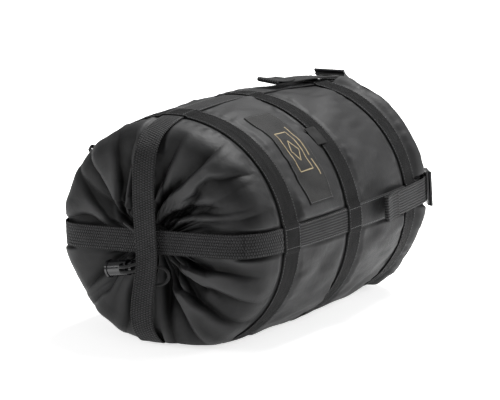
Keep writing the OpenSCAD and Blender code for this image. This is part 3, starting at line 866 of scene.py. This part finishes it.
BL_A = tuple(world(203, 0, 0) / 1000)
BL_B = tuple(world(286, 0, 0) / 1000)
BL_A = (BL_A[0], 0.0, BL_A[2]); BL_B = (BL_B[0], 0.0, BL_A[2])
SIDES = (("top", TOP), ("near", NEAR), ("bottom", BOT), ("far", FAR))
for nm, q in SIDES:
    o = long_strap("webbing_strap_sewn_" + nm, q, 70.2, 182.6)
    use(o, WEB_RIB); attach(o, "sack"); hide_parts("strap_sewn_" + nm)
    o = long_strap("strap_lower_run_" + nm, q, 183.2, 331.6, wave=0.5, seed=q + 3)
    use(o, FABRIC_STRIP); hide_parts("strap_lower_" + nm)
    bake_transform(o)


def anchor(q):
    return np.array([359.3, 75.0]) if q == BOT else np.array([356.86, 98.5])


def ltilt(q):
    return math.radians(60 if q == BOT else 40)


def lk(e, x, q):
    a, t = anchor(q), ltilt(q)
    return [a[0] - e * math.cos(t) + x * math.sin(t), a[1] + e * math.sin(t) + x * math.cos(t)]


def base_half_path(q, lift):
    a = anchor(q)
    loop = []
    rr = 2.33
    for k in np.linspace(0, 330, 23):
        f = math.radians(k)
        loop.append(lk(-rr * math.cos(f), rr * math.sin(f), q))
    p0 = lk(-2.33, 0, q)
    if q == BOT:
        mid = [[p0[0] - 0.6, p0[1] - 5], [357.6, 59], [355.2, 46]]
    else:
        mid = [[p0[0] - 0.4, p0[1] - 4], [p0[0] - 1.2, p0[1] - 10], [354.4 + lift, 76], [354 + lift, 60]]
    return loop[::-1] + mid + [[354 + lift, 30], [354.1 + lift, 0.0]]


def full_base(name, q0, q1, lift):
    P = []
    parts = []
    for q in (q0, q1):
        raw = np.array(base_half_path(q, lift))
        n_loop = 23
        body = catmull(raw[n_loop - 1:], 10)
        p = np.concatenate([raw[:n_loop - 1], body])
        p, u = resample(p, step=0.7)
        parts.append(p)
    sec = section(WEB_W, WEB_T)
    grids = []
    for p, q in zip(parts, (q0, q1)):
        d = np.gradient(p, axis=0); d /= np.linalg.norm(d, axis=1)[:, None]
        n = np.stack([-d[:, 1], d[:, 0]], -1)
        er, et = qvec(q)
        h = sec[None, :, 1] - WEB_T / 2
        sgn = 1 if q == q0 else -1
        v = sec[None, :, 0] * sgn + 0 * h
        S = p[:, 0:1] + n[:, 0:1] * h
        R = p[:, 1:2] + n[:, 1:2] * h
        grids.append(world(S, R * er[0] + v * et[0], R * er[1] + v * et[1]))
    A, B = grids
    P = np.concatenate([A, B[::-1][1:]])
    u = np.concatenate([[0], np.cumsum(np.linalg.norm(np.diff(P.mean(1), axis=0), axis=1))])
    P[..., 2] = np.maximum(P[..., 2], 0.3)
    return tube(name, P, sec, u)


o = full_base("webbing_base_strap_vertical", TOP, BOT, 0.0); use(o, WEB_RIB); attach(o, "base_end"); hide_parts("base_strap_vertical")
o = full_base("webbing_base_strap_horizontal", NEAR, FAR, 1.5); use(o, WEB_RIB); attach(o, "base_end"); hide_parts("base_strap_horizontal")

for nm, q in SIDES:
    path = [lk(14.6, -3.4, q), lk(13.6, 0.4, q), lk(12.3, 2.0, q), lk(10.4, 2.6, q), lk(8.5, 2.0, q), lk(7.4, 0.2, q), lk(7.6, -2.6, q), lk(9, -3.6, q)]
    o, _ = ribbon("webbing_strap_wrap_" + nm, path, q, WEB_W - 0.4, 1.0, h0=-0.5, out=1, step=0.6)
    use(o, WEB_RIB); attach(o, "base_end"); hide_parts("strap_wrap_" + nm)

# tails: one strip that runs out along the body and folds back under its own end
TA = math.atan(0.18)


def tail_path(seed, rr=1.9):
    g = np.random.RandomState(seed)
    L = 114.0
    z = np.linspace(0, L, 30)
    x = WEB_T / 2 + 0.9 * np.sin(z / L * PI) * g.uniform(-0.6, -0.2) + 0.25 * np.sin(z / 13 + g.uniform(0, 6)) * np.clip(z / 30, 0, 1) * np.clip((L - z) / 30, 0, 1)
    run = np.stack([x, -z], -1)
    f = np.linspace(-90, 90, 13)[1:-1]
    turn = [[WEB_T / 2 + rr + rr * math.sin(math.radians(k)), -L - rr * math.cos(math.radians(k))] for k in f]
    zb = np.linspace(L - 0.5, L - 30, 16)
    back = [[WEB_T * 1.5 + 0.06 + (2 * rr - WEB_T) * max(0.0, (b - (L - 17)) / 17.0) ** 1.3 + (0.7 * ((L - 24 - b) / 6.0) ** 2 if b < L - 24 else 0.0), -b] for b in zb]
    return np.concatenate([run, turn, back])


def tail(nm, q):
    p = tail_path(q + 5, 1.7 if q == TOP else 1.9)
    p, u = resample(p, step=0.8)
    c, s_ = math.cos(TA), math.sin(TA)
    # local (x outward, z along +s) turned by the tail's slope
    S = 339.8 + p[:, 1] * c + p[:, 0] * s_
    R = 108.0 - p[:, 1] * s_ + p[:, 0] * c
    if q == TOP:
        flat = np.array([[225, 119.6], [231, 119.4], [250, 118.4], [262, 117.5], [280, 116.3], [291, 115.5], [303.5, 114.3], [316, 112.6], [328, 110.2], [339.8, 108.0]])
        R = R - (108.0 + (339.8 - S) * 0.18) + np.interp(S, flat[:, 0], flat[:, 1])
    else:
        k = np.clip((339.8 - S) / 14.0, 0, 1)
        R = R + 0.6 + 2.4 * k * k * (3 - 2 * k)
    pts = np.stack([S, R], -1)
    d = np.gradient(pts, axis=0); d /= np.linalg.norm(d, axis=1)[:, None]
    n = np.stack([-d[:, 1], d[:, 0]], -1)
    sec = section(WEB_W, WEB_T - 0.1)
    er, et = qvec(q)
    h = sec[None, :, 1] - WEB_T / 2
    v = sec[None, :, 0] + 0 * h
    g = np.random.RandomState(q)
    tw = 0.35 * np.sin(u / 31.0 + g.uniform(0, 6))[:, None] * np.clip(u / 40, 0, 1)[:, None] * np.clip((88 - u) / 20, 0, 1)[:, None]
    hh = h - tw * v / 12.5
    SS = pts[:, 0:1] + n[:, 0:1] * hh
    RR = pts[:, 1:2] + n[:, 1:2] * hh
    if q == TOP:
        k = np.clip((285 - pts[:, 0:1]) / 60.0, 0, 1)
        RR = RR + k * k * (3 - 2 * k) * (1.0 - 0.12 * v)
    P = world(SS, RR * er[0] + v * et[0], RR * er[1] + v * et[1])
    return tube("webbing_strap_tail_" + nm, P, sec, u)


for nm, q in SIDES:
    if nm == "bottom":
        continue
    o = tail(nm, q)
    use(o, WEB_RIB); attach(o, "strap_tail_" + nm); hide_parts("strap_tail_" + nm)


def bottom_tail():
    ry = 101.2 * math.tan(math.radians(-ROLL))
    pts = catmull([[232, 0.65], [260, 0.65], [300, 0.65], [321, 0.68], [331, 2.0], [341, 4.05]], 10)
    pts, u = resample(pts, step=1.2)
    d = np.gradient(pts, axis=0); d /= np.linalg.norm(d, axis=1)[:, None]
    n = np.stack([-d[:, 1], d[:, 0]], -1)
    sec = section(WEB_W, WEB_T)
    h = sec[None, :, 1] - WEB_T / 2
    X = -MB + pts[:, 0:1] + n[:, 0:1] * h
    Z = np.maximum(pts[:, 1:2] + n[:, 1:2] * h, 0)
    Y = -ry + sec[None, :, 0] + 0 * h
    return tube("webbing_strap_tail_bottom", np.stack(np.broadcast_arrays(X, Y, Z), -1), sec, u)


o = bottom_tail(); use(o, WEB_RIB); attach(o, "base_end"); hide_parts("strap_tail_bottom")


# ------------------------------------------------------------------ label, size tab, hang loop
def patch(name, s0, s1, pc, half, h0, t, ns=40, nphi=110, fn=None):
    """A thin patch on the surface from s0 to s1, centred at angle pc, half its width in mm to each side."""
    l = np.linspace(float(l_of_s(s0)), float(l_of_s(s1)), ns)
    a = np.linspace(-half, half, nphi) / 121.5 + math.radians(pc)
    Lg, Ag = np.meshgrid(l, a, indexing="ij")
    top = skin(Lg, Ag, h0 + t + (fn(Lg, Ag) if fn else 0), 0.0)
    bot = skin(Lg, Ag, h0 + (fn(Lg, Ag) if fn else 0), 0.0)
    n = ns * nphi
    V = np.concatenate([top.reshape(-1, 3), bot.reshape(-1, 3)])
    F = [quads(ns, nphi, False, False, 0, True), quads(ns, nphi, False, False, n)]
    i = np.arange(ns - 1); j = np.arange(nphi - 1)
    F.append(np.stack([j, j + 1, j + 1 + n, j + n], -1))
    k = (ns - 1) * nphi
    F.append(np.stack([k + j + 1, k + j, k + j + n, k + j + 1 + n], -1))
    F.append(np.stack([(i + 1) * nphi, i * nphi, i * nphi + n, (i + 1) * nphi + n], -1))
    F.append(np.stack([i * nphi + nphi - 1, (i + 1) * nphi + nphi - 1, (i + 1) * nphi + nphi - 1 + n, i * nphi + nphi - 1 + n], -1))
    U = np.stack([(Ag - a[0]) * 121.5, Lg - l[0]], -1).reshape(-1, 2)
    o = new_mesh(name, V, np.concatenate(F).tolist(), np.concatenate([U, U]))
    fix_normals(o)
    return o


def lift_label(l, a):
    return fabric_disp(l, a) + 0.3 + 0.1 * np.sin(a * 45) * np.sin(l / 6)


o = patch("label_patch", 103, 147, 226.5, 55.9, 0.05, 0.6, fn=lift_label)
use(o, PATCH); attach(o, "sack"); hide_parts("label")


def tab_lift(l, a):
    f = np.clip((float(l_of_s(181)) - l) / 18.0, 0, 1)
    return 1.2 + 1.6 * np.sin(f * PI) * 0.6 + 0.2 * np.sin(a * 60)


o = patch("size_tab_tape", 163, 181, 222, 10.5, 0.15, 0.85, ns=24, nphi=28, fn=tab_lift)
use(o, TAPE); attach(o, "sack"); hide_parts("size_tab")


def hang_loop():
    a0 = math.radians(126)
    f = np.linspace(0, PI, 26)
    s = 50.5 - 6.3 * np.cos(f)
    r = 117.6 + 9.0 * np.sin(f) ** 0.8
    pts = np.stack([s, r], -1)
    d = np.gradient(pts, axis=0); d /= np.linalg.norm(d, axis=1)[:, None]
    n = np.stack([-d[:, 1], d[:, 0]], -1)
    sec = section(4.4, 1.1, 5)
    h = sec[None, :, 1] - 0.55
    er = np.array([math.sin(a0), -math.cos(a0)]); et = np.array([math.cos(a0), math.sin(a0)])
    S = pts[:, 0:1] + n[:, 0:1] * h
    R = pts[:, 1:2] + n[:, 1:2] * h
    v = sec[None, :, 0] + 0 * h
    P = world(S, R * er[0] + v * et[0], R * er[1] + v * et[1])
    return tube("hang_loop_tape", P, sec, arclen(pts))


o = hang_loop(); use(o, WEB_RIB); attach(o, "sack"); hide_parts("hang_loop")


# ------------------------------------------------------------------ stitching
def stitches(name, lines, body, length=2.3, gap=0.9, r=0.28, mat=THREAD):
    """Threads along lines of (points, outward normals) in mm."""
    V, F = [], []
    n = 6
    a = np.arange(n) / n * 2 * PI
    prof = [(-0.5, 0.35), (-0.36, 0.9), (0.0, 1.0), (0.36, 0.9), (0.5, 0.35)]
    for p, nn in lines:
        l = arclen(p)
        step = length + gap
        c = np.arange(step / 2, l[-1], step)
        if len(c) == 0:
            continue
        f = lambda arr, t: np.stack([np.interp(t, l, arr[:, k]) for k in range(3)], -1)
        C = f(p, c); N = f(nn, c)
        T = f(p, np.minimum(c + 0.5, l[-1])) - f(p, np.maximum(c - 0.5, 0))
        T /= np.linalg.norm(T, axis=1)[:, None]
        N -= T * (N * T).sum(1)[:, None]
        N /= np.linalg.norm(N, axis=1)[:, None]
        B = np.cross(T, N)
        for i in range(len(c)):
            base = len(V)
            for x, k in prof:
                o_ = C[i] + T[i] * x * length + N[i] * (r * 0.35 * (1 - (2 * x) ** 2))
                for b in a:
                    V.append(o_ + (N[i] * math.cos(b) * 0.8 + B[i] * math.sin(b)) * r * k)
            for j in range(len(prof) - 1):
                for b in range(n):
                    F.append([base + j * n + b, base + j * n + (b + 1) % n, base + (j + 1) * n + (b + 1) % n, base + (j + 1) * n + b])
            F.append([base + b for b in range(n - 1, -1, -1)])
            F.append([base + (len(prof) - 1) * n + b for b in range(n)])
    V = np.array(V)
    V[:, 2] = np.maximum(V[:, 2], 0.05)
    o = new_mesh(name, V, F, V[:, :2])
    fix_normals(o)
    use(o, mat)
    if body:
        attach(o, body)
    return o


def ring_line(s0, v, off):
    ph = np.linspace(0, 2 * PI, 500)
    # the ground side is left out: the band is pressed flat there
    lift = band_lift(ph)
    l = np.full_like(ph, float(l_of_s(s0)) + v)
    p = skin(l, ph, off + lift, 0.0)
    q = skin(l, ph, off + lift + 1.0, -1.0)
    keep = p[:, 2] > 9
    i = np.where(keep)[0]
    return p[i], (q - p)[i]


def long_line(q, s0, s1, v, off):
    l = np.arange(float(l_of_s(s0)), float(l_of_s(s1)), 1.5)
    s, r, ns, nr = at(l)
    phi = math.radians(q + ROLL) + np.arcsin(v / r)
    p = skin(l, phi, off, 0.0); n = skin(l, phi, off + 1, -1.0) - p
    return p, n


L1, L2, L3 = [], [], []
H = G + WEB_T
for v in (-10.9, 10.9):
    L1.append(ring_line(BANDS[0], v, H)); L1.append(ring_line(BANDS[1], v, H)); L3.append(ring_line(BANDS[2], v, H))
for nm, q in SIDES:
    if q == BOT:
        continue
    for v in (-10.9, 10.9):
        L1.append(long_line(q, 84, 169, v, H))
        L1.append(long_line(q, 40 if q != NEAR else 55, 56, v, H))
    # box stitches where straps pass under the bands
    for s0, tgt in ((BANDS[0], L1), (BANDS[1], L1), (BANDS[2], L3)):
        for v in (-9.5, 9.5):
            l = float(l_of_s(s0)) + np.linspace(-10.5, 10.5, 12)
            s, r, ns, nr = at(l)
            phi = math.radians(q + ROLL) + np.arcsin(v / r)
            p = skin(l, phi, H + 1.42, 0.0); n = skin(l, phi, H + 2.42, -1.0) - p
            tgt.append((p, n))
stitches("stitching_sack", L1, "sack")
stitches("stitching_base_end", L3, "base_end")

LOW = []
for nm, q in SIDES:
    if q == BOT:
        continue
    for v in (-10.9, 10.9):
        LOW.append(long_line(q, 197, 290, v, H + 0.35))
o = stitches("stitching_lower_runs", LOW, None)
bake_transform(o)
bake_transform(REAR)

# label border and a plain ridge line
LB = []


def on_label(s, w, h=0.72):
    s = np.asarray(s, float); w = np.asarray(w, float)
    l = l_of_s(s); a = math.radians(226.5) + w / 121.5
    p = skin(l, a, h + lift_label(l, a), 0.0)
    n = skin(l, a, h + 1 + lift_label(l, a), -1.0) - p
    return p, n


for a, b in (((104.5, -54.4), (145.5, -54.4)), ((145.5, -54.4), (145.5, 54.4)), ((145.5, 54.4), (104.5, 54.4)), ((104.5, 54.4), (104.5, -54.4))):
    t = np.linspace(0, 1, 60)
    LB.append(on_label(a[0] + (b[0] - a[0]) * t, a[1] + (b[1] - a[1]) * t))
stitches("stitching_label", LB, "sack", length=1.8, gap=0.8, r=0.22)


def gold_lines(name, segs, width=1.5, t=0.22):
    V, F = [], []
    for pts in segs:
        p = np.array(pts, float)
        l = arclen(p); n = max(2, int(l[-1] / 1.5) + 1)
        tt = np.linspace(0, l[-1], n)
        q = np.stack([np.interp(tt, l, p[:, k]) for k in range(2)], -1)
        d = np.gradient(q, axis=0); d /= np.linalg.norm(d, axis=1)[:, None]
        m = np.stack([-d[:, 1], d[:, 0]], -1)
        b0 = len(V)
        for side, h in ((-0.5, 0.62), (-0.42, 0.62 + t), (0.42, 0.62 + t), (0.5, 0.62)):
            x = q + m * width * side
            pp, _ = on_label(x[:, 0], x[:, 1], h)
            V.extend(pp.tolist())
        F.extend(quads(4, n, True, False, b0).tolist())
        F.append([b0 + k * n for k in (0, 1, 2, 3)]); F.append([b0 + k * n + n - 1 for k in (3, 2, 1, 0)])
    V = np.array(V)
    o = new_mesh(name, V, F, V[:, :2])
    fix_normals(o)
    use(o, GOLD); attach(o, "sack")
    return o


gold_lines("label_mark", [
    [[113, -24], [133, -24], [133, 22], [113, 22], [113, -24]],
    [[123, -13], [129, -1], [123, 11], [117, -1], [123, -13]]], width=1.3)
gold_lines("label_bars", [[[139.5, -30], [139.5, 8]], [[139.5, 12], [139.5, 30]]], width=1.6)

# ------------------------------------------------------------------ CAD nodes that stay
for nm in ("ladder_lock_top", "ladder_lock_near", "ladder_lock_bottom", "ladder_lock_far", "cord_lock_barrel", "cord_lock_button", "cord_lock_spring"):
    o = frame["nodes"][nm]
    o.data.materials.clear()
    o.data.materials.append(BUCKLE if nm.startswith("ladder") else STEEL if nm.endswith("spring") else LOCKP)
    if not nm.endswith("spring"):
        b = o.modifiers.new("bevel", "BEVEL"); b.width = 0.00045; b.segments = 3; b.limit_method = "ANGLE"; b.angle_limit = math.radians(35)
        b.harden_normals = False

# the spring gets a mesh of its own, and the axis of the button's travel is worked out
_p0 = world(7.4, 49.5, -34) / 1000
_ax = world(7.4, 49.5 - 0.9816, -34 + 0.1908) / 1000 - _p0
_ax = _ax / np.linalg.norm(_ax)
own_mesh(frame["nodes"]["cord_lock_spring"])

# ------------------------------------------------------------------ floor and light
me = bpy.data.meshes.new("Floor")
R_ = 30.0
me.from_pydata([(-R_, -R_, 0), (R_, -R_, 0), (R_, R_, 0), (-R_, R_, 0)], [], [(0, 1, 2, 3)])
floor = bpy.data.objects.new("Floor", me)
bpy.context.scene.collection.objects.link(floor)
f = M("FloorPaper")
floor.data.materials.append(f.done(f.ramp(f.noise(3, 2), (0.3, (0.88, 0.88, 0.88)), (0.7, (0.9, 0.9, 0.9))), 0.9, spec=0.1))
f.b.inputs["Emission Color"].default_value = (1, 1, 1, 1)
f.b.inputs["Emission Strength"].default_value = 0.72
floor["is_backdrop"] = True

w = bpy.data.worlds.new("World")
bpy.context.scene.world = w
w.use_nodes = True
w.node_tree.nodes["Background"].inputs[0].default_value = (1, 1, 1, 1)
w.node_tree.nodes["Background"].inputs[1].default_value = 0.24


def area(name, loc, target, size, power):
    d = bpy.data.lights.new(name, "AREA"); d.shape = "RECTANGLE"; d.size, d.size_y = size
    d.energy = power
    o = bpy.data.objects.new(name, d)
    bpy.context.scene.collection.objects.link(o)
    o.location = loc
    o.rotation_euler = (Vector(target) - Vector(loc)).to_track_quat("-Z", "Y").to_euler()
    return o


area("KeyTop", (0.6, -0.1, 1.45), (0.02, 0, 0.12), (0.8, 0.6), 44)
area("FillLeft", (-1.5, 0.9, 0.9), (0, 0, 0.12), (0.7, 0.7), 7)
area("FillFront", (1.3, -1.5, 0.9), (0, 0, 0.1), (1.0, 0.8), 14)
bpy.context.scene.view_settings.view_transform = "Standard"
bpy.context.scene.view_settings.look = "None"

a, b = CAD_BOX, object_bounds()
{"cad": [[float(x) for x in p] for p in a], "visual": [[float(x) for x in p] for p in b]}
